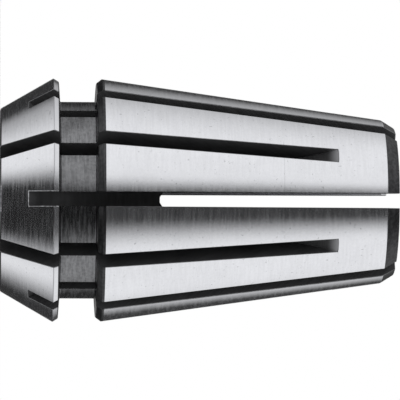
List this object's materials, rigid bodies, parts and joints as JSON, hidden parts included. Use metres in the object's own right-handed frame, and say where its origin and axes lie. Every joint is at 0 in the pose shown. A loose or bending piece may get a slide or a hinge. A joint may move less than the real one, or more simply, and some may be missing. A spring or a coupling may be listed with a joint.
{
  "type": "spring collet",
  "caption": "Slotted spring collet with an eight degree seat taper, a puller groove and a nut cone, for gripping round tool shanks in a collet chuck.",
  "frame": {"origin": "centre of the big face, which the nut covers and on which the collet stands", "axes": "+Z along the collet's axis from the big face to the small end; +X through the middle of a petal, halfway between two slots"},
  "size_m": [0.017, 0.017, 0.0275],
  "materials": {
    "ground_steel": "ground bright on the tapers, dark in the groove, chamfers, slots and bore"
  },
  "bodies": {
    "root": {"collet": "ground_steel"}
  },
  "joints": []
}
